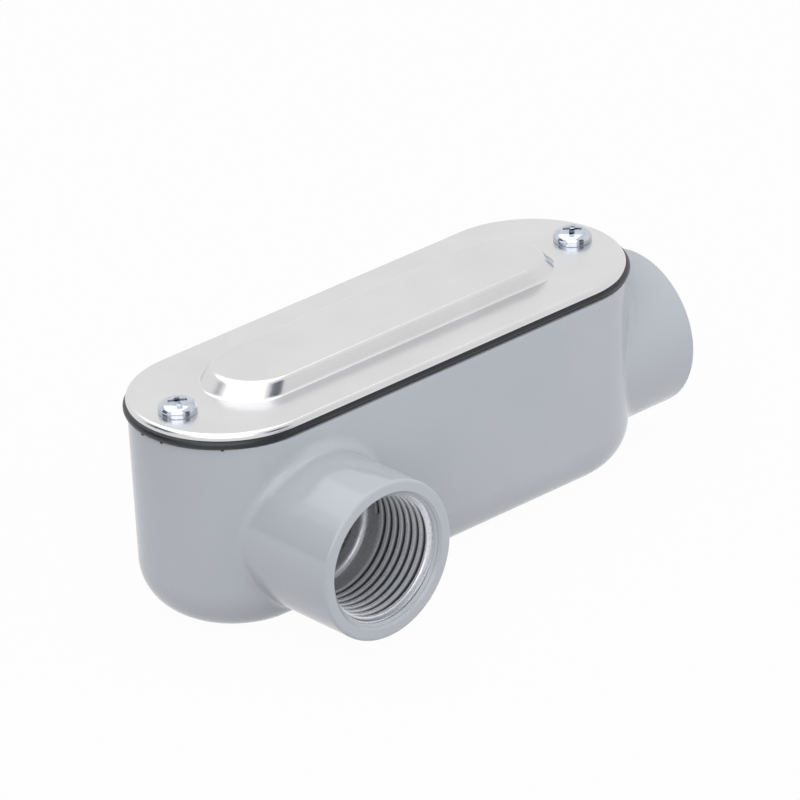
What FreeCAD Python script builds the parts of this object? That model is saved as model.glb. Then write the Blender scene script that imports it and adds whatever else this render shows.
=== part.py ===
"""Die-cast LL conduit body, 1 inch trade size, with gasket, stamped cover and two screws.

Millimetres. The origin is the middle of the flat underside, +Z goes up to the cover, +X goes
out of the end hub and -Y goes out of the side hub.
"""

import FreeCAD, Part
import math
import os

from FreeCAD import Vector

# ---- driving dimensions -------------------------------------------------------------------

# The pipe that both hubs take: 1 inch rigid conduit, NPT 1 - 11.5.
PIPE_OD = 33.4

# Body: an elongated round box that narrows downwards by its casting draft.
BODY_HEIGHT = 51.4          # underside to rim
BODY_WIDTH = 48.2           # at the rim
BODY_LENGTH = 146.6         # at the rim
BODY_DRAFT = 1.2            # degrees, all walls
BOTTOM_ROUND = 12.6         # outside round between wall and underside
WALL = 2.7                  # side walls
FLOOR = 3.2                 # bottom wall

# Hubs.
HUB_OD = 40.2
HUB_AXIS_HEIGHT = 24.8      # above the underside
SIDE_HUB_INSET = 29.7       # from the body's end to the side hub's axis
SIDE_HUB_REACH = 24.2       # from the body's side at the rim to the hub's face
END_HUB_REACH = 12.0        # from the body's end at the rim to the hub's face
HUB_BLEND = 3.0             # hollow round between hub and body
HUB_FACE_ROUND = 0.8        # outer edge of the hub's face
MOUTH_ROUND = 0.6           # inner edge of the hub's face
THREADED_DEPTH = 21.0       # lead-in and thread
STOP_DEPTH = 23.0           # plain band, ends at the bushing
STOP_RADIUS = 14.5
THROAT_RADIUS = 13.2
THROAT_LIP = 1.2            # round on the bushing's edges
BUSHING_LENGTH = 3.6

# Gasket, cover and screws.
LID_SHIFT = -0.5            # how far the screws, and with them the cover, sit off the body's middle
GASKET_THICKNESS = 2.4
GASKET_EXCESS = 2.1         # how much longer than the cover it is, so that it shows at both ends
GASKET_SHIFT = -0.25
GASKET_BAND = 5.0           # width of the ring of rubber along the sides
COVER_MARGIN = 0.1          # how far the rim stands out past the cover all round
SHEET = 1.6
COVER_EDGE_ROUND = 1.1
PANEL_END_MARGIN = 20.0     # flat sheet left between the raised field's foot and the cover's end
PANEL_WIDTH = 23.8          # raised field, at its foot
PANEL_CORNER = 8.5
PANEL_RISE = 3.9
PANEL_END_LEAN = 2.4        # how far its end walls lean in over their rise
PANEL_SIDE_LEAN = 0.4       # the same for its side walls
PANEL_TOP_CORNER = 9.5
PANEL_TOP_ROUND = 1.3
PANEL_FOOT_ROUND = 0.7
SCREW_INSET = 8.7           # from the cover's ends to the screws, which stand on the long axis
SCREW_HEAD_OD = 9.5
SCREW_HEAD_HEIGHT = 2.9
SCREW_CROWN_ROUND = 2.0
SCREW_SHANK_OD = 4.7
SCREW_LENGTH = 11.0         # under the head
SLOT_WIDTH = 1.3
SLOT_DEPTH = 1.3
RECESS_SPAN = 5.2           # cross recess, tip to tip
RECESS_DEPTH = 2.2
SCREW_HOLE_CLEARANCE = 0.1  # between shank and boss, on the radius
COVER_HOLE_CLEARANCE = 0.4  # between shank and cover or gasket, on the radius
BOSS_RADIUS = 5.6
BOSS_HEIGHT = 18.0          # straight part, below the rim
TIP_GAP = 1.5               # below the screw's end

# ---- worked-out sizes ---------------------------------------------------------------------

OVERLAP = 1.0               # how far cutting tools and joined solids run past a face
TOUCH = 0.01                # how near a place an edge has to be to count as lying on it
SLOPE = math.tan(math.radians(BODY_DRAFT))
BODY_RADIUS = BODY_WIDTH / 2
BODY_ARC_X = BODY_LENGTH / 2 - BODY_RADIUS
SIDE_HUB_X = SIDE_HUB_INSET - BODY_LENGTH / 2
SIDE_HUB_FACE = BODY_WIDTH / 2 + SIDE_HUB_REACH
END_HUB_FACE = BODY_LENGTH / 2 + END_HUB_REACH
COVER_LENGTH = BODY_LENGTH - 2 * COVER_MARGIN
COVER_WIDTH = BODY_WIDTH - 2 * COVER_MARGIN
SCREW_SPACING = COVER_LENGTH - 2 * SCREW_INSET
PANEL_LENGTH = COVER_LENGTH - 2 * PANEL_END_MARGIN
BORE_RADIUS = PIPE_OD / 2
BUSHING_END = STOP_DEPTH + BUSHING_LENGTH
HUB_RADIUS = HUB_OD / 2
COVER_UNDERSIDE = BODY_HEIGHT + GASKET_THICKNESS
COVER_TOP = COVER_UNDERSIDE + SHEET
SHANK_RADIUS = SCREW_SHANK_OD / 2
COVER_HOLE_RADIUS = SHANK_RADIUS + COVER_HOLE_CLEARANCE
BOSS_HOLE_RADIUS = SHANK_RADIUS + SCREW_HOLE_CLEARANCE
BOSS_HOLE_DEPTH = SCREW_LENGTH - SHEET - GASKET_THICKNESS + TIP_GAP
SCREW_PLACES = (LID_SHIFT - SCREW_SPACING / 2, LID_SHIFT + SCREW_SPACING / 2)

X_AXIS = Vector(1, 0, 0)
Y_AXIS = Vector(0, 1, 0)
Z_AXIS = Vector(0, 0, 1)


# ---- helpers ------------------------------------------------------------------------------

def join(solids):
    """Return one solid made of all the given ones, with no seams left on shared faces."""
    return solids[0].multiFuse(solids[1:]).removeSplitter()


def prism(points, direction):
    """Return the solid that a closed polygon sweeps along a straight direction."""
    outline = Part.makePolygon(points + points[:1])
    return Part.Face(outline).extrude(direction)


def tapered_slab(half_x, half_y, corner, bottom, height, spread):
    """Return a round-cornered slab whose walls lean outwards by `spread` over its height.

    `half_x`, `half_y` and `corner` are measured at the bottom. A slab whose corner equals
    half_y has fully round ends.
    """
    straight_x = half_x - corner
    straight_y = half_y - corner
    top = bottom + height
    cross_x = [Vector(-straight_x, -half_y, bottom), Vector(-straight_x, half_y, bottom),
               Vector(-straight_x, half_y + spread, top), Vector(-straight_x, -half_y - spread, top)]
    parts = [prism(cross_x, X_AXIS * (2 * straight_x))]
    y_places = [0.0]
    if straight_y > 0:
        y_places = [-straight_y, straight_y]
        cross_y = [Vector(-half_x, -straight_y, bottom), Vector(half_x, -straight_y, bottom),
                   Vector(half_x + spread, -straight_y, top), Vector(-half_x - spread, -straight_y, top)]
        parts.append(prism(cross_y, Y_AXIS * (2 * straight_y)))
    for x in (-straight_x, straight_x):
        for y in y_places:
            place = Vector(x, y, bottom)
            if spread:
                parts.append(Part.makeCone(corner, corner + spread, height, place, Z_AXIS))
            else:
                parts.append(Part.makeCylinder(corner, height, place, Z_AXIS))
    return join(parts)


def edges_at_height(shape, height):
    """Return the edges that lie wholly in one level plane."""
    return [edge for edge in shape.Edges
            if abs(edge.BoundBox.ZMin - height) < TOUCH and abs(edge.BoundBox.ZMax - height) < TOUCH]


# ---- housing ------------------------------------------------------------------------------

class Hub:
    """One threaded hub: where its face is and which way it points."""

    def __init__(self, face, outward, root_depth):
        self.face = face
        self.outward = outward
        self.root_depth = root_depth

    def cylinder(self, radius, start, end):
        """Return a round bar along the hub's axis between two depths below its face."""
        return Part.makeCylinder(radius, end - start, self.face - self.outward * start, -self.outward)

    def cone(self, start_radius, end_radius, start, end):
        """Return a round taper along the hub's axis between two depths below its face."""
        place = self.face - self.outward * start
        return Part.makeCone(start_radius, end_radius, end - start, place, -self.outward)

    def outside(self):
        """Return the hub's solid bar, from its face to well inside the body block."""
        return self.cylinder(HUB_RADIUS, 0.0, self.root_depth)

    def inner_tube(self):
        """Return the hub's bar as far as its bushing ends inside the wire chamber."""
        return self.cylinder(HUB_RADIUS, 0.0, BUSHING_END)

    def bore(self):
        """Return everything that is cut out along the hub's axis."""
        parts = [self.cylinder(BORE_RADIUS, -OVERLAP, THREADED_DEPTH),
                 self.cylinder(STOP_RADIUS, THREADED_DEPTH - OVERLAP, STOP_DEPTH),
                 self.cone(STOP_RADIUS, THROAT_RADIUS, STOP_DEPTH, STOP_DEPTH + THROAT_LIP),
                 self.cylinder(THROAT_RADIUS, STOP_DEPTH, BUSHING_END + WALL)]
        return join(parts)

    def mouth_tool(self):
        """Return the cone that breaks the inner edge of the hub's face."""
        wide = BORE_RADIUS + MOUTH_ROUND + OVERLAP
        return self.cone(wide, BORE_RADIUS, -OVERLAP, MOUTH_ROUND)


SIDE_HUB = Hub(Vector(SIDE_HUB_X, -SIDE_HUB_FACE, HUB_AXIS_HEIGHT), -Y_AXIS, SIDE_HUB_FACE)
END_HUB = Hub(Vector(END_HUB_FACE, 0, HUB_AXIS_HEIGHT), X_AXIS, END_HUB_FACE - BODY_ARC_X)


def body_block():
    """Return the body's outside as a solid block, rounded along its underside."""
    shrink = BODY_HEIGHT * SLOPE
    half_x = BODY_LENGTH / 2 - shrink
    half_y = BODY_RADIUS - shrink
    block = tapered_slab(half_x, half_y, half_y, 0.0, BODY_HEIGHT, shrink)
    return block.makeFillet(BOTTOM_ROUND, edges_at_height(block, 0.0))


def wire_chamber():
    """Return the hollow inside the body, open through the rim."""
    height = BODY_HEIGHT - FLOOR + OVERLAP
    shrink = height * SLOPE
    half_y = BODY_RADIUS - WALL + OVERLAP * SLOPE - shrink
    half_x = BODY_ARC_X + half_y
    block = tapered_slab(half_x, half_y, half_y, FLOOR, height, shrink)
    return block.makeFillet(BOTTOM_ROUND - WALL, edges_at_height(block, FLOOR))


def screw_boss(screw_x):
    """Return the post that takes a cover screw, with a sloping foot on the end wall."""
    outward = math.copysign(1, screw_x)
    wall_x = outward * BODY_LENGTH / 2
    inner_x = screw_x - outward * BOSS_RADIUS
    low = BODY_HEIGHT - BOSS_HEIGHT
    side = -BOSS_RADIUS
    profile = [Vector(inner_x, side, BODY_HEIGHT), Vector(wall_x, side, BODY_HEIGHT),
               Vector(wall_x, side, low - abs(wall_x - inner_x)), Vector(inner_x, side, low)]
    web = prism(profile, Y_AXIS * (2 * BOSS_RADIUS))
    column = Part.makeCylinder(BOSS_RADIUS, BODY_HEIGHT, Vector(screw_x, 0, 0), Z_AXIS)
    behind = Part.makeBox(abs(wall_x - screw_x), 2 * BOSS_RADIUS, BODY_HEIGHT,
                          Vector(min(wall_x, screw_x), side, 0))
    return web.common(join([column, behind]))


def outer_shell(block):
    """Return the block with both hubs grown out of it and the corners blended."""
    shell = join([block, SIDE_HUB.outside(), END_HUB.outside()])
    blend = [edge for edge in shell.Edges if is_hub_root(edge)]
    shell = shell.makeFillet(HUB_BLEND, blend)
    face_edges = [edge for edge in shell.Edges if is_hub_rim(edge)]
    return shell.makeFillet(HUB_FACE_ROUND, face_edges)


def is_hub_rim(edge):
    """Say whether an edge is the outer edge of a hub's face."""
    box = edge.BoundBox
    on_side = abs(box.YMin + SIDE_HUB_FACE) < TOUCH and abs(box.YMax + SIDE_HUB_FACE) < TOUCH
    on_end = abs(box.XMin - END_HUB_FACE) < TOUCH and abs(box.XMax - END_HUB_FACE) < TOUCH
    return on_side or on_end


def is_hub_root(edge):
    """Say whether an edge is where a hub's outside runs into the body."""
    if is_hub_rim(edge) or isinstance(edge.Curve, Part.Line):
        return False
    points = edge.discretize(5)
    for hub in (SIDE_HUB, END_HUB):
        distances = [point.distanceToLine(hub.face, hub.outward) for point in points]
        if max(abs(distance - HUB_RADIUS) for distance in distances) < TOUCH:
            return True
    return False


def make_housing():
    """Return the one-piece casting: box, hubs, bushings and screw bosses."""
    block = body_block()
    shell = outer_shell(block)
    inner_tubes = [SIDE_HUB.inner_tube(), END_HUB.inner_tube()]
    bosses = [screw_boss(screw_x) for screw_x in SCREW_PLACES]
    hollow = wire_chamber().cut(join(inner_tubes + bosses))
    housing = shell.cut(hollow)
    for hub in (SIDE_HUB, END_HUB):
        housing = housing.cut(hub.bore())
        housing = housing.cut(hub.mouth_tool())
    for screw_x in SCREW_PLACES:
        top = Vector(screw_x, 0, BODY_HEIGHT + OVERLAP)
        housing = housing.cut(Part.makeCylinder(BOSS_HOLE_RADIUS, BOSS_HOLE_DEPTH + OVERLAP, top, -Z_AXIS))
    return housing.removeSplitter()


# ---- gasket and cover ---------------------------------------------------------------------

def screw_holes(bottom, height):
    """Return the two bars that cut the screw holes through a flat layer."""
    bars = [Part.makeCylinder(COVER_HOLE_RADIUS, height + 2 * OVERLAP,
                              Vector(screw_x, 0, bottom - OVERLAP), Z_AXIS) for screw_x in SCREW_PLACES]
    return Part.makeCompound(bars)


def make_gasket():
    """Return the flat rubber ring, widened at its ends to take the screws."""
    half_y = COVER_WIDTH / 2
    half_x = (COVER_LENGTH + GASKET_EXCESS) / 2
    ring = tapered_slab(half_x, half_y, half_y, BODY_HEIGHT, GASKET_THICKNESS, 0.0)
    ring.translate(X_AXIS * GASKET_SHIFT)
    window = tapered_slab(SCREW_SPACING / 2 - BOSS_RADIUS, half_y - GASKET_BAND, BOSS_RADIUS,
                          BODY_HEIGHT - OVERLAP, GASKET_THICKNESS + 2 * OVERLAP, 0.0)
    window.translate(X_AXIS * LID_SHIFT)
    return ring.cut(window).cut(screw_holes(BODY_HEIGHT, GASKET_THICKNESS))


def round_cornered_wire(half_x, half_y, corner, height):
    """Return a level closed outline of four straight sides and four quarter rounds."""
    edges = []
    for turn in range(4):
        angle = 90.0 * turn
        x = math.copysign(half_x - corner, math.cos(math.radians(angle + 45)))
        y = math.copysign(half_y - corner, math.sin(math.radians(angle + 45)))
        edges.append(Part.makeCircle(corner, Vector(x, y, height), Z_AXIS, angle, angle + 90))
    sides = []
    for turn in range(4):
        following = edges[(turn + 1) % 4]
        sides.append(Part.makeLine(edges[turn].lastVertex().Point, following.firstVertex().Point))
    return Part.Wire([edge for pair in zip(edges, sides) for edge in pair])


def raised_panel(inset, foot_height):
    """Return the panel's bulge, `inset` inside its outside, with its foot at a given height."""
    half_x = PANEL_LENGTH / 2 - inset
    half_y = PANEL_WIDTH / 2 - inset
    foot = round_cornered_wire(half_x, half_y, PANEL_CORNER - inset, foot_height)
    top = round_cornered_wire(half_x - PANEL_END_LEAN, half_y - PANEL_SIDE_LEAN,
                              PANEL_TOP_CORNER - inset, foot_height + PANEL_RISE)
    return Part.makeLoft([foot, top], True, True)


def is_panel_foot(edge):
    """Say whether an edge at the sheet's upper face belongs to the raised field's foot."""
    reach = PANEL_WIDTH / 2 + TOUCH
    return -reach < edge.BoundBox.YMin and edge.BoundBox.YMax < reach


def make_cover():
    """Return the stamped cover with its hollow raised field."""
    half_y = COVER_WIDTH / 2
    sheet = tapered_slab(COVER_LENGTH / 2, half_y, half_y, COVER_UNDERSIDE, SHEET, 0.0)
    sheet = sheet.makeFillet(COVER_EDGE_ROUND, edges_at_height(sheet, COVER_TOP))
    panel = raised_panel(0.0, COVER_TOP)
    panel = panel.makeFillet(PANEL_TOP_ROUND, edges_at_height(panel, COVER_TOP + PANEL_RISE))
    cover = join([sheet, panel])
    foot_edges = [edge for edge in edges_at_height(cover, COVER_TOP) if is_panel_foot(edge)]
    cover = cover.makeFillet(PANEL_FOOT_ROUND, foot_edges).cut(raised_panel(SHEET, COVER_UNDERSIDE))
    cover.translate(X_AXIS * LID_SHIFT)
    return cover.cut(screw_holes(COVER_UNDERSIDE, SHEET))


# ---- screws -------------------------------------------------------------------------------

def make_screw(x):
    """Return one pan-head screw with a slot and a cross recess, standing in its hole."""
    head = Part.makeCylinder(SCREW_HEAD_OD / 2, SCREW_HEAD_HEIGHT, Vector(x, 0, COVER_TOP), Z_AXIS)
    crown_height = COVER_TOP + SCREW_HEAD_HEIGHT
    head = head.makeFillet(SCREW_CROWN_ROUND, edges_at_height(head, crown_height))
    shank_top = Vector(x, 0, COVER_TOP + OVERLAP)
    shank = Part.makeCylinder(SHANK_RADIUS, SCREW_LENGTH + OVERLAP, shank_top, -Z_AXIS)
    recess = [centred_bar(x, crown_height, SLOT_WIDTH, SCREW_HEAD_OD + OVERLAP, SLOT_DEPTH),
              centred_bar(x, crown_height, SLOT_WIDTH, RECESS_SPAN, RECESS_DEPTH),
              centred_bar(x, crown_height, RECESS_SPAN, SLOT_WIDTH, RECESS_DEPTH)]
    return join([head, shank]).cut(join(recess))


def centred_bar(x, top, width, length, depth):
    """Return a cutting bar centred over a screw, sunk `depth` below the crown."""
    corner = Vector(x - width / 2, -length / 2, top - depth)
    return Part.makeBox(width, length, depth + OVERLAP, corner)


# ---- writing ------------------------------------------------------------------------------

def main():
    """Build every piece and write it as a STEP file named after its node."""
    os.makedirs("parts", exist_ok=True)
    pieces = {
        "housing": make_housing(),
        "gasket": make_gasket(),
        "cover": make_cover(),
        "screw_side_hub_end": make_screw(SCREW_PLACES[0]),
        "screw_end_hub_end": make_screw(SCREW_PLACES[1]),
    }
    for name, shape in pieces.items():
        solid = shape.Solids[0]
        print(name, "solids", len(shape.Solids), "valid", shape.isValid(),
              "volume %.0f" % shape.Volume, "faces", len(shape.Faces))
        solid.exportStep("parts/" + name + ".step")


main()
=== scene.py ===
"""Looks of a die-cast LL conduit body, 1 inch trade size, with its gasket, cover and screws.

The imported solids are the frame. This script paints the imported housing, lines both hubs with a
painted mouth and a tapered pipe thread, and makes the gasket, the stamped cover and the two
cover screws again with their finer rounds. Lengths are millimetres and are turned to metres
where a mesh is made. The origin is the middle of the flat underside, +Z goes up to the cover,
+X goes out of the end hub and -Y goes out of the side hub.
"""

import logging
import math
from dataclasses import dataclass
from enum import Enum
from typing import Any, Callable

import bpy
from mathutils import Matrix, Vector

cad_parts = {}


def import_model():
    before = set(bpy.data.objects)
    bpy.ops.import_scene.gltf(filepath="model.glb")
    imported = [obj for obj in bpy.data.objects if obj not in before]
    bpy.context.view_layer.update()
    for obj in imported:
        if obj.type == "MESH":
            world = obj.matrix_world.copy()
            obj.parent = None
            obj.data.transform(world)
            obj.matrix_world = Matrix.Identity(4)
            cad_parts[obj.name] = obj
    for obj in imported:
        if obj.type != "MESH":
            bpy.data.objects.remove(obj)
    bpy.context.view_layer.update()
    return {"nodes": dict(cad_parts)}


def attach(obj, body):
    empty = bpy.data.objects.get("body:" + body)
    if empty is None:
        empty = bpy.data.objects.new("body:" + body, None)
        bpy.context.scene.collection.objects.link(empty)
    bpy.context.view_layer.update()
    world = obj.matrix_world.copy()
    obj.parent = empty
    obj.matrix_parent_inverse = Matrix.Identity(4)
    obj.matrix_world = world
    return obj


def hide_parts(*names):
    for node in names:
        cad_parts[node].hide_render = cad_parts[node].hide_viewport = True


LOG = logging.getLogger("conduit_body")
MM = 0.001

# Points and pairs of lengths are in millimetres.
Point = tuple[float, float, float]
Pair = tuple[float, float]
Object = bpy.types.Object
Material = bpy.types.Material
Tree = bpy.types.NodeTree
Socket = bpy.types.NodeSocket

UP = Vector((0.0, 0.0, 1.0))
QUARTER_TURN = math.pi / 2
PROFILE_MERGE = 0.001 * MM  # points of a profile nearer than this become one
MESH_MERGE = 0.002 * MM  # the same for a finished mesh
CORNER_MERGE = 0.004 * MM  # the same where two rounded corners meet
FULL_ROUND = 0.9995  # a corner takes at most this share of half the width


# ---- mesh work -------------------------------------------------

class Solver(Enum):
    """How a boolean modifier joins two closed meshes."""

    CUT = "DIFFERENCE"
    ADD = "UNION"


def deselect_everything() -> None:
    """Leave edit mode and clear the selection."""
    if bpy.context.object and bpy.context.object.mode != "OBJECT":
        bpy.ops.object.mode_set(mode="OBJECT")
    bpy.ops.object.select_all(action="DESELECT")


def make_active(piece: Object) -> None:
    """Select one object alone and make it the active one."""
    deselect_everything()
    piece.select_set(True)
    bpy.context.view_layer.objects.active = piece


def new_object(name: str, add: Callable[..., Any], **settings: Any) -> Object:
    """Add an object with an operator and name it.

    Args:
        name: the object's name.
        add: the operator that adds it.
        settings: the operator's settings.

    Returns:
        The new object, which is also the active one.
    """
    deselect_everything()
    add(**settings)
    bpy.context.object.name = name
    return bpy.context.object


def edit_whole_mesh() -> None:
    """Enter edit mode on the active object, with its whole mesh selected."""
    bpy.ops.object.mode_set(mode="EDIT")
    bpy.ops.mesh.select_mode(type="VERT")
    bpy.ops.mesh.select_all(action="SELECT")


def place(piece: Object, turned: Matrix) -> None:
    """Move a mesh to its place, in the mesh itself, so that its object stays at the origin."""
    make_active(piece)
    piece.matrix_world = turned
    bpy.ops.object.transform_apply(location=True, rotation=True, scale=True)


def apply_modifier(piece: Object, kind: str, **settings: Any) -> None:
    """Add one modifier to an object with its settings, and apply it.

    Args:
        piece: the mesh object.
        kind: the modifier's type, such as "SCREW".
        settings: the modifier's properties by name.
    """
    make_active(piece)
    modifier = piece.modifiers.new(kind.lower(), kind)
    for name, value in settings.items():
        setattr(modifier, name, value)
    bpy.ops.object.modifier_apply(modifier=modifier.name)


def combine(piece: Object, tool: Object, how: Solver) -> None:
    """Join a tool mesh to a piece with an exact boolean, and delete the tool."""
    apply_modifier(piece, "BOOLEAN", operation=how.value, solver="EXACT", object=tool)
    bpy.data.objects.remove(tool)


def trace(name: str, points: list[Pair], closed: bool) -> Object:
    """Draw a bent line in the XZ plane, as a profile for a Screw modifier.

    Args:
        name: the object's name.
        points: (x, z) places.
        closed: whether the last point joins the first.

    Returns:
        The new object, a mesh of edges with its origin at the world's origin.
    """
    piece = new_object(name, bpy.ops.mesh.primitive_plane_add, size=1.0)
    edit_whole_mesh()
    bpy.ops.mesh.merge(type="CENTER")
    bpy.ops.transform.translate(value=(points[0][0] * MM, 0.0, points[0][1] * MM))
    places = points + points[:1] if closed else points
    for start, end in zip(places, places[1:]):
        step = ((end[0] - start[0]) * MM, 0.0, (end[1] - start[1]) * MM)
        bpy.ops.mesh.extrude_region_move(TRANSFORM_OT_translate={"value": step})
    bpy.ops.mesh.select_all(action="SELECT")
    bpy.ops.mesh.remove_doubles(threshold=PROFILE_MERGE)
    bpy.ops.object.mode_set(mode="OBJECT")
    return piece


def turn(piece: Object, steps: int) -> None:
    """Turn a profile once round the Z axis into a closed mesh with its faces outwards."""
    apply_modifier(piece, "SCREW", axis="Z", angle=math.tau, screw_offset=0.0, steps=steps,
                   render_steps=steps, use_merge_vertices=True, merge_threshold=PROFILE_MERGE,
                   use_smooth_shade=True)
    close_and_face_out(piece)


def close_and_face_out(piece: Object) -> None:
    """Merge doubles, fill open edges and point all faces outwards."""
    make_active(piece)
    edit_whole_mesh()
    bpy.ops.mesh.remove_doubles(threshold=MESH_MERGE)
    bpy.ops.mesh.fill_holes(sides=0)
    bpy.ops.mesh.normals_make_consistent(inside=False)
    bpy.ops.object.mode_set(mode="OBJECT")


def rounded_block(name: str, middle: Point, half: Pair, corner: float, segments: int,
                  steps: list[Point]) -> Object:
    """Raise a closed solid in steps from a level face with four rounded corners.

    Args:
        name: the object's name.
        middle: the middle of the starting face.
        half: half the face's length along X and half its width along Y.
        corner: the radius of its corners; half its width gives round ends.
        segments: how many edges make a corner.
        steps: for each step its height above the start, and by how much the outline has
            moved in along X and along Y.

    Returns:
        The new object.
    """
    centre = Vector(middle) * MM
    piece = new_object(name, bpy.ops.mesh.primitive_plane_add, size=2.0)
    place(piece, Matrix.Translation(centre))
    edit_whole_mesh()
    bpy.ops.transform.resize(value=(half[0] * MM, half[1] * MM, 1.0), center_override=centre)
    bpy.ops.mesh.bevel(offset=min(corner, half[1] * FULL_ROUND) * MM, segments=segments,
                       profile=0.5, affect="VERTICES", clamp_overlap=False)
    bpy.ops.mesh.select_all(action="SELECT")
    bpy.ops.mesh.remove_doubles(threshold=CORNER_MERGE)
    bpy.ops.mesh.select_mode(type="FACE")
    bpy.ops.mesh.select_all(action="SELECT")
    last = (0.0, 0.0, 0.0)
    for height, in_x, in_y in steps:
        rise = (0.0, 0.0, (height - last[0]) * MM)
        bpy.ops.mesh.extrude_region_move(TRANSFORM_OT_translate={"value": rise})
        factor_x = (half[0] - in_x) / (half[0] - last[1])
        factor_y = (half[1] - in_y) / (half[1] - last[2])
        bpy.ops.transform.resize(value=(factor_x, factor_y, 1.0), center_override=centre)
        last = (height, in_x, in_y)
    bpy.ops.mesh.select_all(action="SELECT")
    bpy.ops.mesh.normals_make_consistent(inside=False)
    bpy.ops.object.mode_set(mode="OBJECT")
    return piece


def round_over(radius: float, steps: int) -> list[Pair]:
    """Return (rise, inset) places along a quarter round from a wall to a level top."""
    angles = [QUARTER_TURN * (step + 1) / steps for step in range(steps)]
    return [(radius * math.sin(angle), radius * (1 - math.cos(angle))) for angle in angles]


def level_grid(name: str, size: float, cuts: int) -> Object:
    """Lay a square sheet, its size in metres, cut into a grid."""
    piece = new_object(name, bpy.ops.mesh.primitive_plane_add, size=size)
    edit_whole_mesh()
    bpy.ops.mesh.subdivide(number_cuts=cuts)
    bpy.ops.object.mode_set(mode="OBJECT")
    return piece


def finish_piece(piece: Object, material: Material,
                 crease: float) -> None:
    """Smooth a piece, give it its material and slot, and let it ride on the body.

    Args:
        piece: the finished mesh.
        material: its only material.
        crease: the angle in degrees above which an edge stays sharp.
    """
    make_active(piece)
    bpy.ops.object.shade_smooth_by_angle(angle=math.radians(crease))
    apply_modifier(piece, "WEIGHTED_NORMAL", keep_sharp=True, weight=50)
    piece.data.materials.clear()
    piece.data.materials.append(material)
    deselect_everything()
    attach(piece, "root")


# ---- material work ---------------------------------------------

def linear(hex_colour: str) -> tuple[float, float, float, float]:
    """Turn an sRGB hex colour into the linear values that shaders take."""
    channels = [int(hex_colour[start:start + 2], 16) / 255 for start in (1, 3, 5)]
    values = [c / 12.92 if c <= 0.04045 else ((c + 0.055) / 1.055) ** 2.4 for c in channels]
    return values[0], values[1], values[2], 1.0


def add_node(tree: Tree, kind: str, settings: dict[str, Any],
             links: dict[str, Socket]) -> bpy.types.Node:
    """Add a shader node with its settings and links.

    Args:
        tree: the node tree.
        kind: the node's type, such as "ShaderNodeTexNoise".
        settings: input values by socket name or number, or node properties by name.
        links: output sockets to join, by the name of the input they go to.

    Returns:
        The new node.
    """
    node = tree.nodes.new(kind)
    for name, value in settings.items():
        if name.isdigit():
            node.inputs[int(name)].default_value = value
        elif name in node.inputs:
            node.inputs[name].default_value = value
        else:
            setattr(node, name, value)
    for name, socket in links.items():
        target = node.inputs[int(name)] if name.isdigit() else node.inputs[name]
        tree.links.new(socket, target)
    return node


def new_material(name: str) -> tuple[Material, Tree, Socket]:
    """Start a material, and return it with its node tree and its output's surface socket."""
    material = bpy.data.materials.new(name)
    material.use_nodes = True
    tree = material.node_tree
    tree.nodes.clear()
    output = tree.nodes.new("ShaderNodeOutputMaterial")
    return material, tree, output.inputs["Surface"]


def place_on_part(tree: Tree) -> Socket:
    """Return the coordinates that patterns read, in the part's own frame."""
    return add_node(tree, "ShaderNodeTexCoord", {}, {}).outputs["Object"]


def principled(tree: Tree, settings: dict[str, Any], links: dict[str, Socket]) -> Socket:
    """Return the shader of a Principled node with its settings and links."""
    return add_node(tree, "ShaderNodeBsdfPrincipled", settings, links).outputs["BSDF"]


def calculate(tree: Tree, kind: str, operation: str, terms: tuple[Any, ...]) -> bpy.types.Node:
    """Add a Math or Vector Math node, whose terms in order are sockets or plain values."""
    named = {str(index): term for index, term in enumerate(terms)}
    links = {index: term for index, term in named.items() if isinstance(term, Socket)}
    values = {index: term for index, term in named.items() if index not in links}
    return add_node(tree, kind, {"operation": operation, **values}, links)


def scalar(tree: Tree, operation: str, *terms: Socket | float) -> Socket:
    """Return the number that a Math node works out."""
    return calculate(tree, "ShaderNodeMath", operation, terms).outputs["Value"]


def vector(tree: Tree, operation: str, *terms: Socket | Point) -> Socket:
    """Return the vector that a Vector Math node works out."""
    return calculate(tree, "ShaderNodeVectorMath", operation, terms).outputs["Vector"]


def measure(tree: Tree, operation: str, *terms: Socket | Point) -> Socket:
    """Return the number that a Vector Math node works out, such as a "LENGTH"."""
    return calculate(tree, "ShaderNodeVectorMath", operation, terms).outputs["Value"]


def excess(tree: Tree, value: Socket | float, limit: Socket | float) -> Socket:
    """Return by how much a value is over a limit, or 0 where it is under it."""
    return scalar(tree, "MAXIMUM", scalar(tree, "SUBTRACT", value, limit), 0.0)


def diagonal(tree: Tree, first: Socket, second: Socket) -> Socket:
    """Return the distance that two lengths at right angles make."""
    corner = add_node(tree, "ShaderNodeCombineXYZ", {}, {"X": first, "Y": second})
    return measure(tree, "LENGTH", corner.outputs["Vector"])


def remap(tree: Tree, value: Socket, source: Pair, target: Pair = (0.0, 1.0)) -> Socket:
    """Return a value moved from one range to another and held within it."""
    moved = add_node(tree, "ShaderNodeMapRange",
                     {"From Min": source[0], "From Max": source[1],
                      "To Min": target[0], "To Max": target[1]}, {"Value": value})
    return moved.outputs["Result"]


def seen_directly(tree: Tree) -> Socket:
    """Return a socket that is 1 for camera, glossy and transmission rays, else 0."""
    path = add_node(tree, "ShaderNodeLightPath", {}, {})
    mirrored = scalar(tree, "MAXIMUM", path.outputs["Is Camera Ray"], path.outputs["Is Glossy Ray"])
    return scalar(tree, "MAXIMUM", mirrored, path.outputs["Is Transmission Ray"])


# ---- finishes --------------------------------------------------

class Blend(Enum):
    """How one colour goes over into the next."""

    STRAIGHT = "LINEAR"
    SOFT = "EASE"


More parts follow.
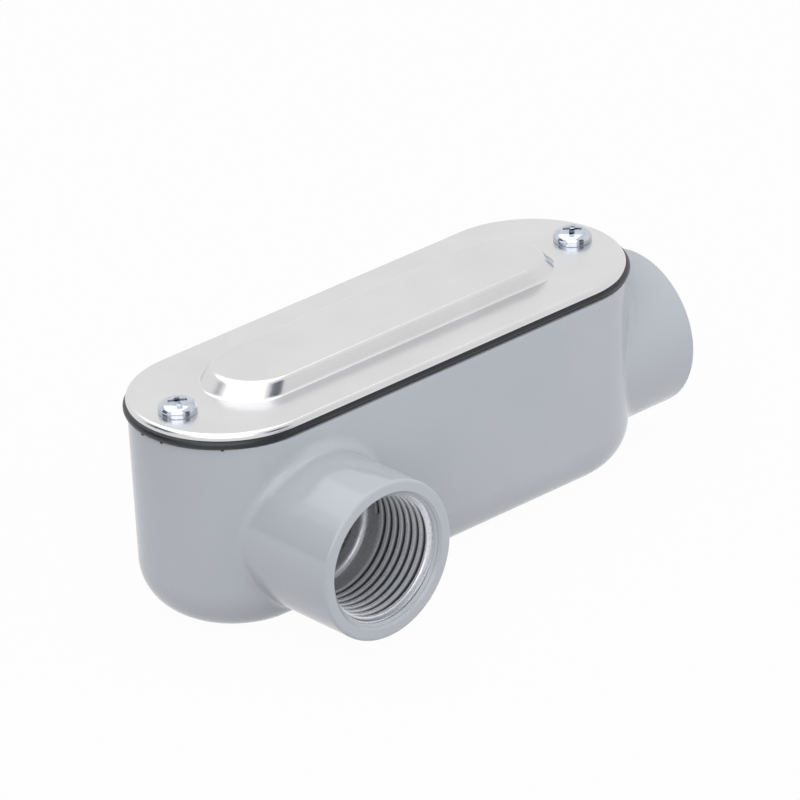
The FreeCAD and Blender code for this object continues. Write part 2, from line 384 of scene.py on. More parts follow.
@dataclass(frozen=True)
class Pattern:
    """A noise over the part, with the colours and the bumps that it steers."""

    widths: Point  # across its patches, along X, Y and Z
    detail: float
    breakup: float  # how strongly its finer detail shows
    limits: Pair = (0.0, 1.0)  # values where the first colour ends and the second is full
    blend: Blend = Blend.STRAIGHT
    bump_strength: float = 0.0
    bump_height: float = 0.0

    def level(self, tree: Tree, spot: Socket) -> Socket:
        """Return the noise's value at a spot on the part."""
        scale = tuple(1 / (width * MM) for width in self.widths)
        scaled = add_node(tree, "ShaderNodeMapping", {"Scale": scale}, {"Vector": spot})
        noise = add_node(tree, "ShaderNodeTexNoise",
                         {"Scale": 1.0, "Detail": self.detail, "Roughness": self.breakup},
                         {"Vector": scaled.outputs["Vector"]})
        return noise.outputs["Fac"]

    def colour(self, tree: Tree, level: Socket, first: str, second: str) -> Socket:
        """Return a colour that the noise's value blends from the first to the second."""
        ramp = add_node(tree, "ShaderNodeValToRGB", {}, {"Fac": level})
        ramp.color_ramp.interpolation = self.blend.value
        for stop, limit, colour in zip(ramp.color_ramp.elements, self.limits, (first, second)):
            stop.position = limit
            stop.color = linear(colour)
        return ramp.outputs["Color"]

    def normal(self, tree: Tree, level: Socket) -> Socket:
        """Return the surface's normal, tipped by the noise's bumps."""
        bumps = add_node(tree, "ShaderNodeBump",
                         {"Strength": self.bump_strength, "Distance": self.bump_height * MM},
                         {"Height": level})
        return bumps.outputs["Normal"]


@dataclass(frozen=True)
class Finish:
    """A named finish, which becomes one material."""

    name: str

    def make(self) -> Material:
        """Return the finish as a material."""
        material, tree, surface = new_material(self.name)
        tree.links.new(self.shader(tree, place_on_part(tree)), surface)
        return material

    def shader(self, tree: Tree, spot: Socket) -> Socket:
        """Return the finish's shader.

        Args:
            tree: the material's nodes.
            spot: the place on the part, which patterns read.

        Returns:
            The shader's socket.
        """
        raise NotImplementedError


@dataclass(frozen=True)
class PowderCoat(Finish):
    """Semi-gloss polyester powder coat, baked on the die casting.

    The powder melts into a film with a faint orange peel, so soft lights smear a little and
    straight edges waver. The film is slightly uneven in shade where it lies thicker. The
    charged powder hardly reaches inside the box, which stays as cast: grey, rough and streaked
    where the metal ran along the mould.
    """

    colour: str
    thin_colour: str
    cast_colour: str
    cast_streak_colour: str
    roughness: float
    ior: float = 1.5
    # Patches of thicker film, the orange peel, and streaks drawn coarse so that they show.
    clouds: Pattern = Pattern((26.0, 26.0, 26.0), 2.0, 0.4, limits=(0.15, 0.85), blend=Blend.SOFT)
    peel: Pattern = Pattern((1.6, 1.6, 1.6), 2.0, 0.45, bump_strength=0.25, bump_height=0.03)
    streaks: Pattern = Pattern((0.9, 0.9, 7.0), 4.0, 0.65, limits=(0.35, 0.68),
                               bump_strength=0.5, bump_height=0.15)
    cast_metallic: float = 0.15
    cast_roughness: float = 0.45
    box_arc: float = 49.2  # the box's end rounds are centred this far from its middle
    box_floor_round: float = 12.6
    box_side_reach: float = 10.6  # from the long axis to where the floor's round begins
    skin_middle: float = 11.5  # between the inner and outer radius of that round

    def shader(self, tree: Tree, spot: Socket) -> Socket:
        """Return the film outside the box and the raw casting inside it."""
        mix = add_node(tree, "ShaderNodeMixShader", {},
                       {"Fac": self.inside_box(tree, spot), "1": self.film(tree, spot),
                        "2": self.raw_casting(tree, spot)})
        return mix.outputs["Shader"]

    def film(self, tree: Tree, spot: Socket) -> Socket:
        """Return the shader of the baked film."""
        shade = self.clouds.colour(tree, self.clouds.level(tree, spot), self.thin_colour,
                                   self.colour)
        normal = self.peel.normal(tree, self.peel.level(tree, spot))
        return principled(tree, {"IOR": self.ior, "Roughness": self.roughness},
                          {"Base Color": shade, "Normal": normal})

    def raw_casting(self, tree: Tree, spot: Socket) -> Socket:
        """Return the shader of the bare cast metal inside the box."""
        level = self.streaks.level(tree, spot)
        shade = self.streaks.colour(tree, level, self.cast_colour, self.cast_streak_colour)
        return principled(tree, {"Metallic": self.cast_metallic, "Roughness": self.cast_roughness},
                          {"Base Color": shade, "Normal": self.streaks.normal(tree, level)})

    def inside_box(self, tree: Tree, spot: Socket) -> Socket:
        """Return a socket that is 1 on the walls of the wire chamber and 0 elsewhere.

        It measures how far a point lies from the box's long axis and floor round, and cuts
        between the inner and the outer skin.
        """
        split = add_node(tree, "ShaderNodeSeparateXYZ", {}, {"Vector": spot})
        past_arc = excess(tree, scalar(tree, "ABSOLUTE", split.outputs["X"]), self.box_arc * MM)
        reach = diagonal(tree, past_arc, split.outputs["Y"])
        sideways = excess(tree, reach, self.box_side_reach * MM)
        below = excess(tree, self.box_floor_round * MM, split.outputs["Z"])
        return scalar(tree, "LESS_THAN", diagonal(tree, sideways, below), self.skin_middle * MM)


@dataclass(frozen=True)
class TappedCasting:
    """The die casting where the tap has cut it.

    Crests and lead-in are clear grey metal, broken into specks where the tool tore it. The
    groove's bottom and the line where the paint ends carry painted shade, a dark colour in place
    of the shade that falls into them, and the plain band behind the thread carries a weaker
    painted shade, a little darker than the crests.
    """

    crest_colour: str
    torn_colour: str
    # The colour of the painted shade in the grooves, on the plain band and on the paint's edge
    # line.
    root_colour: str
    roughness: float
    metallic: float = 0.35
    ior: float = 1.5
    grain: Pattern = Pattern((0.45, 0.45, 0.45), 3.0, 0.6, limits=(0.32, 0.50))
    groove_shares: Pair = (0.10, 0.50)  # groove depth shares where painted shade starts and is full
    first_turn: Pair = (-0.5, 0.1)  # the same along the axis, counted from the lead-in's end
    band_shade: float = 0.32  # strength of the band's painted shade, where 1 is the groove's bottom
    band_margin: float = 0.06  # left clear at each end of the plain band
    line_margin: float = 0.02  # the painted shade of the dark line runs this far past its groove

    def make(self, thread: "HubThread") -> Material:
        """Make the material for one hub.

        Args:
            thread: the hub's lining, which says where crests and roots lie.

        Returns:
            The new material.
        """
        material, tree, surface = new_material(thread.name + "_metal")
        spot = place_on_part(tree)
        clear = self.grain.colour(tree, self.grain.level(tree, spot), self.torn_colour,
                                  self.crest_colour)
        # Grooves, plain band and the paint's edge line blend towards the painted shade colour.
        colour = add_node(tree, "ShaderNodeMix",
                          {"data_type": "RGBA", "7": linear(self.root_colour)},
                          {"0": self.dark_parts(tree, spot, thread), "6": clear})
        metal = principled(tree, {"Metallic": self.metallic, "IOR": self.ior,
                                  "Roughness": self.roughness}, {"Base Color": colour.outputs[2]})
        tree.links.new(metal, surface)
        return material

    def dark_parts(self, tree: Tree, spot: Socket, thread: "HubThread") -> Socket:
        """Return how much painted shade a spot on the hub's lining gets, from 0 to 1."""
        inward = tuple(-value for value in thread.outward)
        away = vector(tree, "SUBTRACT", spot, tuple(value * MM for value in thread.face))
        depth = measure(tree, "DOT_PRODUCT", away, inward)
        sideways = vector(tree, "SUBTRACT", away, vector(tree, "PROJECT", away, inward))
        radius = measure(tree, "LENGTH", sideways)
        untapered = scalar(tree, "MULTIPLY_ADD", depth, thread.slope, radius)
        crest = thread.crest_radius + thread.lead_end * thread.slope
        groove_depth = thread.root_radius - thread.crest_radius
        # Painted shade: full in the groove's bottom past the first turn, weaker on the plain band,
        # full on the line where the paint ends.
        low = remap(tree, untapered,
                    tuple((crest + share * groove_depth) * MM for share in self.groove_shares))
        tapped = remap(tree, depth, tuple((thread.lead_end + way) * MM for way in self.first_turn))
        half_band = (thread.stop_end - thread.band_start) / 2
        band = scalar(tree, "COMPARE", depth, (thread.band_start + half_band) * MM,
                      (half_band - self.band_margin) * MM)
        line = scalar(tree, "LESS_THAN", depth,
                      (thread.paint_end + thread.gap + self.line_margin) * MM)
        behind = scalar(tree, "MAXIMUM", scalar(tree, "MULTIPLY", low, tapped),
                        scalar(tree, "MULTIPLY", band, self.band_shade))
        return scalar(tree, "MAXIMUM", behind, line)


@dataclass(frozen=True)
class BrightMetal(Finish):
    """Bare metal. Its gloss and bumps follow one pattern, its shade another."""

    colour: str
    dull_colour: str
    roughness: float
    swing: Pair  # of the roughness, at the texture's low and high values
    texture: Pattern
    clouds: Pattern

    def shader(self, tree: Tree, spot: Socket) -> Socket:
        """Return the shader of the metal."""
        level = self.texture.level(tree, spot)
        gloss = remap(tree, level, (0.0, 1.0),
                      (self.roughness + self.swing[0], self.roughness + self.swing[1]))
        shade = self.clouds.colour(tree, self.clouds.level(tree, spot), self.dull_colour,
                                   self.colour)
        return principled(tree, {"Metallic": 1.0},
                          {"Base Color": shade, "Roughness": gloss,
                           "Normal": self.texture.normal(tree, level)})


@dataclass(frozen=True)
class RolledAluminium(BrightMetal):
    """Bright aluminium sheet as it leaves the rolls, then stamped.

    Rolling leaves fine lines along the sheet, so reflections are clear but smeared across
    them. Handling adds faint cloudy patches of duller metal.
    """

    swing: Pair = (-0.05, 0.05)
    texture: Pattern = Pattern((14.0, 0.25, 0.25), 3.0, 0.55, bump_strength=0.12,
                               bump_height=0.01)
    clouds: Pattern = Pattern((18.0, 18.0, 18.0), 3.0, 0.55, limits=(0.30, 0.65))


@dataclass(frozen=True)
class ZincPlate(BrightMetal):
    """Bright zinc plating on a cold-headed steel screw: mirror-like with a slight haze."""

    swing: Pair = (-0.04, 0.06)
    texture: Pattern = Pattern((1.2, 1.2, 1.2), 3.0, 0.6, bump_strength=0.25, bump_height=0.02)
    clouds: Pattern = Pattern((1.2, 1.2, 1.2), 3.0, 0.6, limits=(0.35, 0.65))


@dataclass(frozen=True)
class MouldedRubber(Finish):
    """Black neoprene sheet rubber: dull, with a fine open grain on its cut edge."""

    colour: str
    dusty_colour: str
    roughness: float
    ior: float = 1.52
    grain: Pattern = Pattern((0.6, 0.6, 0.6), 4.0, 0.6, limits=(0.40, 0.75),
                             bump_strength=0.25, bump_height=0.04)

    def shader(self, tree: Tree, spot: Socket) -> Socket:
        """Return the shader of the rubber."""
        level = self.grain.level(tree, spot)
        shade = self.grain.colour(tree, level, self.colour, self.dusty_colour)
        return principled(tree, {"IOR": self.ior, "Roughness": self.roughness},
                          {"Base Color": shade, "Normal": self.grain.normal(tree, level)})


HOUSING_PAINT = PowderCoat("powder_coat_grey", colour="#BCC0C6", thin_colour="#B6BAC1",
                           cast_colour="#85878B", cast_streak_colour="#D2D4D6", roughness=0.14)
# The darkest colour here is painted shade for the linings' groove bottoms, plain band and paint
# edge.
TAPPED_METAL = TappedCasting(crest_colour="#ECEEF2", torn_colour="#CFD1D7",
                             root_colour="#55565C", roughness=0.34)
COVER_METAL = RolledAluminium("rolled_aluminium", colour="#DADADB", dull_colour="#D5D5D6",
                              roughness=0.22)
GASKET_RUBBER = MouldedRubber("neoprene_rubber", colour="#11131A", dusty_colour="#1A1C25",
                              roughness=0.36)
SCREW_ZINC = ZincPlate("bright_zinc_plate", colour="#CCD1D9", dull_colour="#B6BCC6",
                       roughness=0.14)


# ---- sub-assemblies --------------------------------------------

@dataclass
class HubThread:
    """The lining of a hub: painted mouth, lead-in, tapered pipe thread, stop and bushing.

    Depths are measured inwards from the hub's face, radii from the hub's axis. The lining is
    cut as a tap cuts it: a turned sleeve whose bore narrows by the pipe thread's taper, less a
    helical V groove of the same taper. Its outside lies within the casting.
    """

    name: str
    face: Point  # middle of the hub's face
    outward: Point  # unit vector out of the hub
    pitch: float = 25.4 / 11.5  # 11.5 threads to the inch
    slope: float = 1 / 32  # the radius shrinks by this much for each unit of depth
    mouth_start: float = 0.7
    mouth_radius: float = 16.72
    mouth_steps: int = 8
    mouth_crease: float = 50.0
    paint_end: float = 1.45  # where the paint stops and the cut metal begins
    paint_end_radius: float = 16.05
    seam: float = 0.01  # between mouth and sleeve
    gap: float = 0.40  # width of the gap where the paint ends; its dark line is real gap and painted shade
    gap_depth: float = 0.45
    lead_step: float = 0.1  # how far the lead-in stands inside the paint's edge
    lead_round: float = 0.08  # length over which it does so
    lead_end: float = 3.0  # where the lead-in cone meets the crests
    crest_radius: float = 15.1  # at the lead-in's end
    root_radius: float = 16.45  # at the lead-in's end
    crest_flat: float = 0.80
    root_flat: float = 0.42
    overshoot: float = 0.12  # how far the cutter reaches inside the crests
    turns: float = 8.5
    thread_crease: float = 30.0
    band_start: float = 19.0  # where the plain band shows behind the last groove
    thread_end: float = 20.6
    stop_start: float = 20.9
    stop_end: float = 22.98
    stop_radius: float = 14.44
    lip_steps: int = 7
    throat_start: float = 24.2
    throat_radius: float = 13.16
    throat_chamfer: float = 0.5
    back: float = 26.62
    skin: float = 17.6  # outer radius, inside the casting
    steps: int = 96

    def build(self, paint: Material, cut: TappedCasting) -> list[Object]:
        """Make the lining and put it in its hub.

        Args:
            paint: the paint on the mouth.
            cut: the finish of the tapped metal.

        Returns:
            The finished pieces, the mouth and the thread.
        """
        mouth = self.mouth()
        place(mouth, self.seat())
        finish_piece(mouth, paint, self.mouth_crease)
        sleeve = self.sleeve()
        combine(sleeve, self.groove(), Solver.CUT)
        place(sleeve, self.seat())
        finish_piece(sleeve, cut.make(self), self.thread_crease)
        return [mouth, sleeve]

    def mouth(self) -> Object:
        """Return the turned ring that rounds the painted mouth, with its axis on Z."""
        run = self.mouth_radius - self.paint_end_radius
        profile = []
        for step in range(self.mouth_steps + 1):
            share = step / self.mouth_steps
            profile.append((self.mouth_radius - run * (1 - math.cos(math.pi * share)) / 2,
                            self.mouth_start + (self.paint_end - self.mouth_start) * share))
        profile += [(self.skin, self.paint_end), (self.skin, self.mouth_start)]
        ring = trace(self.name.replace("thread", "mouth"), profile, closed=True)
        turn(ring, self.steps)
        return ring

    def sleeve(self) -> Object:
        """Return the turned sleeve before it is tapped, with its axis on Z."""
        start = self.paint_end + self.seam
        gap_radius = self.paint_end_radius + self.gap_depth
        gap_end = self.paint_end + self.gap
        crest_end = self.crest_radius - (self.thread_end - self.lead_end) * self.slope
        profile = [(gap_radius, start), (gap_radius, gap_end),
                   (self.paint_end_radius - self.lead_step, gap_end + self.lead_round),
                   (self.crest_radius, self.lead_end), (crest_end, self.thread_end),
                   (self.stop_radius, self.stop_start), (self.stop_radius, self.stop_end)]
        lip_run = self.stop_radius - self.throat_radius
        lip_drop = self.throat_start - self.stop_end
        for step in range(1, self.lip_steps + 1):
            angle = QUARTER_TURN * step / self.lip_steps
            profile.append((self.stop_radius - lip_run * math.sin(angle),
                            self.stop_end + lip_drop * (1 - math.cos(angle))))
        profile += [(self.throat_radius, self.back - self.throat_chamfer),
                    (self.throat_radius + self.throat_chamfer, self.back),
                    (self.skin, self.back), (self.skin, start)]
        sleeve = trace(self.name, profile, closed=True)
        turn(sleeve, self.steps)
        return sleeve

    def groove(self) -> Object:
        """Return the helical cutter whose V section leaves the thread standing."""
        mouth = self.pitch - self.crest_flat
        flare = (mouth - self.root_flat) / (self.root_radius - self.crest_radius)
        inner = self.crest_radius - self.overshoot
        half_mouth = (mouth + self.overshoot * flare) / 2
        half_root = self.root_flat / 2
        section = [(inner, -half_mouth), (inner, half_mouth),
                   (self.root_radius, half_root), (self.root_radius, -half_root)]
        cutter = trace(self.name + "_cutter",
                       [(radius, along - self.pitch) for radius, along in section], closed=True)
        rings = round(self.steps * self.turns)
        apply_modifier(cutter, "SCREW", axis="Z", angle=math.tau * self.turns,
                       screw_offset=self.pitch * self.turns * MM, steps=rings, render_steps=rings,
                       use_merge_vertices=False)
        close_and_face_out(cutter)
        taper = -cutter.dimensions.z * self.slope / (self.crest_radius * MM)
        apply_modifier(cutter, "SIMPLE_DEFORM", deform_method="TAPER", deform_axis="Z",
                       factor=taper)
        place(cutter, Matrix.Translation((0.0, 0.0, self.lead_end * MM)))
        return cutter

    def seat(self) -> Matrix:
        """Return the matrix that takes depth along Z to the hub's own axis."""
        inward = -Vector(self.outward)
        turned = Matrix((UP.cross(inward), UP, inward)).transposed().to_4x4()
        return Matrix.Translation(Vector(self.face) * MM) @ turned


@dataclass(frozen=True)
class DrawnWall:
    """The wall that a press draws in sheet metal, between a hollow foot and a round shoulder."""

    slope: float  # of its straight part, in degrees
    hollow: float  # radius at the foot
    shoulder: float  # radius at the top

    def inset(self, height: float, rise: float) -> float:
        """Return how far the wall has moved in at a height.

        Args:
            height: above the foot.
            rise: the wall's whole height.

        Returns:
            The distance from where the foot begins.
        """
        steepest = math.radians(self.slope)
        foot_rise = self.hollow * (1 - math.cos(steepest))
        top_rise = self.shoulder * (1 - math.cos(steepest))
        foot_run = self.hollow * math.sin(steepest)
        if height < foot_rise:
            return self.hollow * math.sin(math.acos(1 - height / self.hollow))
        if height <= rise - top_rise:
            return foot_run + (height - foot_rise) / math.tan(steepest)
        left = max(rise - height, 0.0)
        straight_run = (rise - top_rise - foot_rise) / math.tan(steepest)
        over = math.sin(steepest) - math.sin(math.acos(1 - left / self.shoulder))
        return foot_run + straight_run + self.shoulder * over


@dataclass
class StampedCover:
    """The stamped cover: an oblong sheet with a rounded rim and a hollow raised field."""

    name: str = "stamped_cover"
    middle: Point = (-0.5, 0.0, 53.8)  # of the sheet's underside
    half_length: float = 73.2
    half_width: float = 24.0
    end_segments: int = 40
    sheet: float = 1.6
    rim_round: float = 1.1
    rim_steps: int = 6
    field_half_length: float = 54.3  # at the start of its foot
    field_half_width: float = 12.4
    field_corner: float = 12.2
    field_segments: int = 28
    rise: float = 3.9
    rise_steps: int = 24
    overlap: float = 0.05  # of the field's solids with the sheet's two faces
    end_wall: DrawnWall = DrawnWall(slope=50.0, hollow=1.2, shoulder=2.4)
    side_wall: DrawnWall = DrawnWall(slope=73.0, hollow=0.7, shoulder=1.2)
    screw_reach: float = 64.5  # from the cover's middle to each screw
    hole_radius: float = 2.75
    hole_sides: int = 48
    hole_cut: float = 6.4  # height of the tool that cuts a screw's hole
    crease: float = 40.0

    def build(self, material: Material) -> Object:
        """Make the cover in its metal, and return it finished."""
        cover = self.plate()
        combine(cover, self.field(0.0, self.sheet - self.overlap), Solver.ADD)
        combine(cover, self.field(self.sheet, -self.overlap), Solver.CUT)
        for reach in (-self.screw_reach, self.screw_reach):
            hole = new_object("cover_hole", bpy.ops.mesh.primitive_cylinder_add,
                              vertices=self.hole_sides, radius=self.hole_radius * MM,
                              depth=self.hole_cut * MM)
            spot = Vector((self.middle[0] + reach, 0.0, self.middle[2]))
            place(hole, Matrix.Translation(spot * MM))
            combine(cover, hole, Solver.CUT)
        finish_piece(cover, material, self.crease)
        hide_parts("cover")
        return cover

    def plate(self) -> Object:
        """Return the flat oblong sheet with its rim rounded over."""
        wall = self.sheet - self.rim_round
        steps = [(wall, 0.0, 0.0)]
        for up, inset in round_over(self.rim_round, self.rim_steps):
            steps.append((wall + up, inset, inset))
        return rounded_block(self.name, self.middle, (self.half_length, self.half_width),
                             self.half_width, self.end_segments, steps)

    def field(self, inset: float, lift: float) -> Object:
        """Return the raised field as a solid.

        Args:
            inset: how far inside the outer skin it is.
            lift: the height of its foot above the sheet's underside.

        Returns:
            A closed solid with a hollow round at its foot and a round over its top edge.
        """
        steps = [(self.overlap, 0.0, 0.0)]
        for step in range(1, self.rise_steps + 1):
            height = self.rise * (1 - math.cos(math.pi * step / self.rise_steps)) / 2
            steps.append((self.overlap + height, self.end_wall.inset(height, self.rise),
                          self.side_wall.inset(height, self.rise)))
        return rounded_block("raised_field", (self.middle[0], 0.0, self.middle[2] + lift),
                             (self.field_half_length - inset, self.field_half_width - inset),
                             self.field_corner - inset, self.field_segments, steps)


@dataclass
class GasketRing:
    """The sheet-rubber gasket, squeezed so that its edge bulges out between cover and box."""

    name: str = "gasket_ring"
    middle: Point = (-0.25, 0.0, 51.4)  # of its underside
    half_length: float = 74.25  # to the bulge's crown
    half_width: float = 24.0
    end_segments: int = 40
    thickness: float = 2.4
    bulge: float = 0.75
    bulge_fullness: float = 0.6  # less is fuller
    bulge_steps: int = 8
    window_middle: Point = (-0.5, 0.0, 50.4)
    window_half: Pair = (58.0, 19.0)
    window_corner: float = 5.6
    window_segments: int = 10
    window_cut: float = 4.4  # height of the tool that cuts the window
    nib_bearings: tuple[float, ...] = (173.0, 189.0, 227.0)  # torn nibs on the lower edge
    nib_radius: float = 0.5
    nib_reach: float = 0.1  # out from the foot of the bulge
    nib_lift: float = 0.22  # above the gasket's underside
    crease: float = 50.0

    def build(self, material: Material) -> Object:
        """Make the gasket in its rubber, and return it finished."""
        half = (self.half_length - self.bulge, self.half_width - self.bulge)
        steps = []
        for step in range(1, self.bulge_steps):
            share = step / self.bulge_steps
            out = self.bulge * math.sin(math.pi * share) ** self.bulge_fullness
            steps.append((self.thickness * share, -out, -out))
        steps.append((self.thickness, 0.0, 0.0))
        ring = rounded_block(self.name, self.middle, half, half[1], self.end_segments, steps)
        window = rounded_block("gasket_window", self.window_middle, self.window_half,
                               self.window_corner, self.window_segments,
                               [(self.window_cut, 0.0, 0.0)])
        combine(ring, window, Solver.CUT)
        for bearing in self.nib_bearings:
            combine(ring, self.nib(bearing), Solver.ADD)
        finish_piece(ring, material, self.crease)
        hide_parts("gasket")
        return ring

    def nib(self, bearing: float) -> Object:
        """Return one nib of torn rubber, at a bearing from +X on the gasket's lower edge."""
        reach = self.half_width - self.bulge + self.nib_reach
        end_centre = self.middle[0] - (self.half_length - self.half_width)
        nib = new_object("gasket_nib", bpy.ops.mesh.primitive_ico_sphere_add, subdivisions=2,
                         radius=self.nib_radius * MM)
        spot = Vector((end_centre + reach * math.cos(math.radians(bearing)),
                       reach * math.sin(math.radians(bearing)), self.middle[2] + self.nib_lift))
        place(nib, Matrix.Translation(spot * MM))
        return nib


@dataclass
class CoverScrew:
    """A pan-head machine screw with a slot and a cross recess."""

    name: str
    stands_for: str
    x: float
    heading: float  # of the slot, in degrees
    seat: float = 55.4
    head_radius: float = 4.75
    head_height: float = 2.9
    head_chamfer: float = 0.15  # under the head
    brim: float = 0.75  # straight side of the head
    dome_steps: int = 14
    dome_fullness: Pair = (0.62, 0.92)  # of its width and its rise; less is fuller
    shank_radius: float = 2.35
    shank_length: float = 11.0
    tip_chamfer: float = 0.5
    steps: int = 64
    slot: Point = (11.4, 1.3, 0.5)  # length (past the head on both sides), width and depth
    cross: Point = (4.6, 1.2, 0.8)  # span, width and depth of one arm
    cross_over: Point = (4.62, 1.2, 0.81)  # the other arm's, unequal so that no faces coincide
    tool_height: float = 4.0
    edge_round: float = 0.11
    edge_segments: int = 3
    edge_angle: float = 40.0  # sharper edges are rounded
    crease: float = 35.0

    def build(self, material: Material) -> Object:
        """Make the screw with its plating, and return it finished."""
        screw = self.turned_blank()
        crown = self.seat + self.head_height
        for (length, width, depth), turned in ((self.slot, 0.0), (self.cross, 0.0),
                                               (self.cross_over, 90.0)):
            tool = new_object("driver_cut", bpy.ops.mesh.primitive_cube_add, size=1.0)
            middle = Vector((self.x, 0.0, crown - depth + self.tool_height / 2))
            place(tool, Matrix.Translation(middle * MM)
                  @ Matrix.Rotation(math.radians(self.heading + turned), 4, "Z")
                  @ Matrix.Diagonal(Vector((length, width, self.tool_height)) * MM).to_4x4())
            combine(screw, tool, Solver.CUT)
        apply_modifier(screw, "BEVEL", width=self.edge_round * MM, segments=self.edge_segments,
                       limit_method="ANGLE", angle_limit=math.radians(self.edge_angle))
        finish_piece(screw, material, self.crease)
        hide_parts(self.stands_for)
        return screw

    def turned_blank(self) -> Object:
        """Return the screw before its recess is struck, standing in its hole."""
        dome_rise = self.head_height - self.brim
        in_power, up_power = self.dome_fullness
        dome = []
        for step in range(self.dome_steps):
            angle = QUARTER_TURN * step / self.dome_steps
            dome.append((self.head_radius * math.cos(angle) ** in_power,
                         self.seat + self.brim + dome_rise * math.sin(angle) ** up_power))
        dome.append((0.0, self.seat + self.head_height))
        tip = self.seat - self.shank_length
        profile = [(0.0, tip), (self.shank_radius - self.tip_chamfer, tip),
                   (self.shank_radius, tip + self.tip_chamfer), (self.shank_radius, self.seat),
                   (self.head_radius - self.head_chamfer, self.seat),
                   (self.head_radius, self.seat + self.head_chamfer)] + dome
        blank = trace(self.name, profile, closed=False)
        turn(blank, self.steps)
        place(blank, Matrix.Translation((self.x * MM, 0.0, 0.0)))
        return blank


# ---- studio ----------------------------------------------------

@dataclass(frozen=True)
class Lamp:
    """A soft rectangular lamp that faces the object."""

    name: str
    spot: Point
    size: Pair  # width and height
    power: float  # in watts
    mirrored: bool  # whether shiny surfaces show it
    aim: Point = (0.0, 0.0, 30.0)

    def hang(self) -> None:
        """Add the lamp."""
        lamp = new_object(self.name, bpy.ops.object.light_add, type="AREA")
        lamp.data.shape = "RECTANGLE"
        lamp.data.size = self.size[0] * MM
        lamp.data.size_y = self.size[1] * MM
        lamp.data.energy = self.power
        lamp.location = Vector(self.spot) * MM
        facing = (Vector(self.aim) - Vector(self.spot)).to_track_quat("-Z", "Y")
        lamp.rotation_euler = facing.to_euler()
        lamp.visible_camera = False
        lamp.visible_glossy = self.mirrored


@dataclass(frozen=True)
class Flag:
    """A grey card that stands upright and faces the object. Only shiny surfaces show it."""

    name: str
    bearing: float  # where it stands, in degrees from +X
    width: float
    height: float = 860.0
    distance: float = 1250.0
    lift: float = 450.0  # of its middle

    def stand(self, material: Material) -> None:
        """Add the card with its material."""
        flag = level_grid(self.name, 1.0, 1)
        angle = math.radians(self.bearing)
        reach = Vector((math.cos(angle), math.sin(angle), 0.0))
        spot = Matrix.Translation((reach * self.distance + UP * self.lift) * MM)
        facing = (-reach).to_track_quat("Z", "Y").to_matrix().to_4x4()
        size = Matrix.Diagonal((self.width * MM, self.height * MM, 1.0)).to_4x4()
        place(flag, spot @ facing @ size)
        flag.data.materials.append(material)
        flag.visible_camera = False
        flag.visible_diffuse = False
        flag.visible_transmission = False
        flag.visible_shadow = False


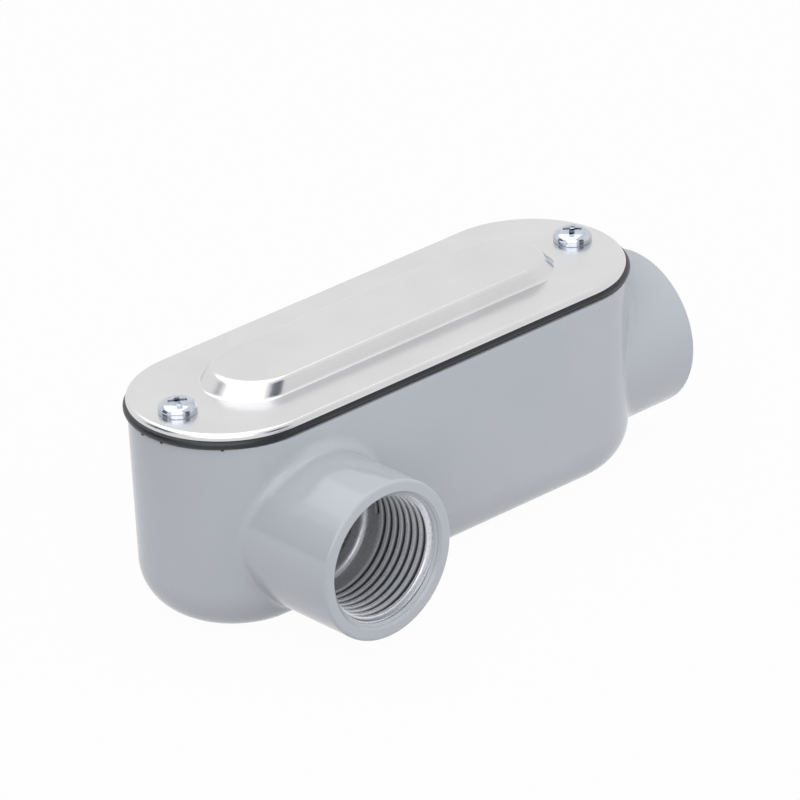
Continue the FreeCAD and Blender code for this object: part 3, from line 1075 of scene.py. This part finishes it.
@dataclass
class Studio:
    """Camera, lamps, cards, floor and the white surroundings."""

    camera_place: Point = (-1209.65, -1352.22, 932.43)
    azimuth: float = -41.94
    elevation: float = 26.33
    roll: float = -2.18
    lens: float = 378.0
    sensor_width: float = 36.0
    clip_end: float = 20.0  # in metres
    lamps: tuple[Lamp, ...] = (
        Lamp("overhead_softbox", (-200.0, 250.0, 1400.0), (2000.0, 2000.0), 12.5, True),
        Lamp("front_softbox", (-900.0, -800.0, 720.0), (1500.0, 1050.0), 7.3, True),
        Lamp("right_fill", (1000.0, -1100.0, 560.0), (1400.0, 1400.0), 8.8, False))
    flags: tuple[Flag, ...] = (Flag("left_flag", 149.0, 780.0), Flag("right_flag", -77.0, 620.0))
    card_colour: str = "#6E7080"
    card_roughness: float = 0.9
    floor_size: float = 6000.0
    floor_cuts: int = 3
    floor_colour: str = "#C8C8C8"
    floor_roughness: float = 0.8
    floor_glow: float = 0.97  # share of plain white where the floor is seen directly
    white: str = "#FFFFFF"
    lighting_colour: str = "#F6F8FB"
    lighting_strength: float = 0.40

    def build(self) -> None:
        """Make everything that isn't the object."""
        self.add_camera()
        for lamp in self.lamps:
            lamp.hang()
        self.add_flags()
        self.add_floor()
        self.add_world()
        bpy.context.scene.view_settings.view_transform = "Standard"

    def add_camera(self) -> None:
        """Add the camera, far off with a long lens."""
        turned = (Matrix.Rotation(math.radians(self.azimuth), 4, "Z")
                  @ Matrix.Rotation(QUARTER_TURN - math.radians(self.elevation), 4, "X")
                  @ Matrix.Rotation(math.radians(self.roll), 4, "Z"))
        camera = new_object("product_camera", bpy.ops.object.camera_add)
        camera.matrix_world = Matrix.Translation(Vector(self.camera_place) * MM) @ turned
        camera.data.lens = self.lens
        camera.data.sensor_width = self.sensor_width
        camera.data.clip_end = self.clip_end
        bpy.context.scene.camera = camera

    def add_flags(self) -> None:
        """Stand the grey cards beside the front softbox."""
        material, tree, surface = new_material("grey_card")
        card = principled(tree, {"Base Color": linear(self.card_colour),
                                 "Roughness": self.card_roughness}, {})
        tree.links.new(card, surface)
        for flag in self.flags:
            flag.stand(material)

    def add_floor(self) -> None:
        """Lay a plain pale floor that shows the object's shadow only faintly."""
        floor = level_grid("pale_floor", self.floor_size * MM, self.floor_cuts)
        material, tree, surface = new_material("pale_floor_paint")
        paint = principled(tree, {"Base Color": linear(self.floor_colour),
                                  "Roughness": self.floor_roughness}, {})
        glow = add_node(tree, "ShaderNodeEmission",
                        {"Color": linear(self.white), "Strength": 1.0}, {})
        mix = add_node(tree, "ShaderNodeMixShader", {},
                       {"Fac": scalar(tree, "MULTIPLY", seen_directly(tree), self.floor_glow),
                        "1": paint, "2": glow.outputs["Emission"]})
        tree.links.new(mix.outputs["Shader"], surface)
        floor.data.materials.append(material)

    def add_world(self) -> None:
        """Surround the object with white that lights it softly."""
        world = bpy.data.worlds.new("white_surroundings")
        bpy.context.scene.world = world
        world.use_nodes = True
        tree = world.node_tree
        tree.nodes.clear()
        shown = add_node(tree, "ShaderNodeBackground",
                         {"Color": linear(self.white), "Strength": 1.0}, {})
        lighting = add_node(tree, "ShaderNodeBackground",
                            {"Color": linear(self.lighting_colour),
                             "Strength": self.lighting_strength}, {})
        mix = add_node(tree, "ShaderNodeMixShader", {},
                       {"Fac": seen_directly(tree), "1": lighting.outputs["Background"],
                        "2": shown.outputs["Background"]})
        add_node(tree, "ShaderNodeOutputWorld", {}, {"Surface": mix.outputs["Shader"]})


def dress(node: Object, material: Material) -> None:
    """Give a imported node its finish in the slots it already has."""
    if not node.data.materials:
        node.data.materials.append(material)
    for index in range(len(node.data.materials)):
        node.data.materials[index] = material


def main() -> None:
    """Build the scene."""
    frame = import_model()
    Studio().build()
    LOG.info("studio ready")
    paint = HOUSING_PAINT.make()
    dress(frame["nodes"]["housing"], paint)
    LOG.info("housing dressed")
    zinc = SCREW_ZINC.make()
    side_thread = HubThread("side_hub_thread", face=(-43.6, -48.3, 24.8), outward=(0.0, -1.0, 0.0))
    end_thread = HubThread("end_hub_thread", face=(85.3, 0.0, 24.8), outward=(1.0, 0.0, 0.0))
    pieces = side_thread.build(paint, TAPPED_METAL) + end_thread.build(paint, TAPPED_METAL)
    pieces += [
        GasketRing().build(GASKET_RUBBER.make()),
        StampedCover().build(COVER_METAL.make()),
        CoverScrew("left_cover_screw", "screw_side_hub_end", x=-65.0, heading=-122.0).build(zinc),
        CoverScrew("right_cover_screw", "screw_end_hub_end", x=64.0, heading=-137.0).build(zinc),
    ]
    for piece in pieces:
        LOG.info("%s: %d faces", piece.name, len(piece.data.polygons))


if __name__ == "__main__":
    logging.basicConfig(level=logging.INFO, format="%(name)s: %(message)s")
    main()
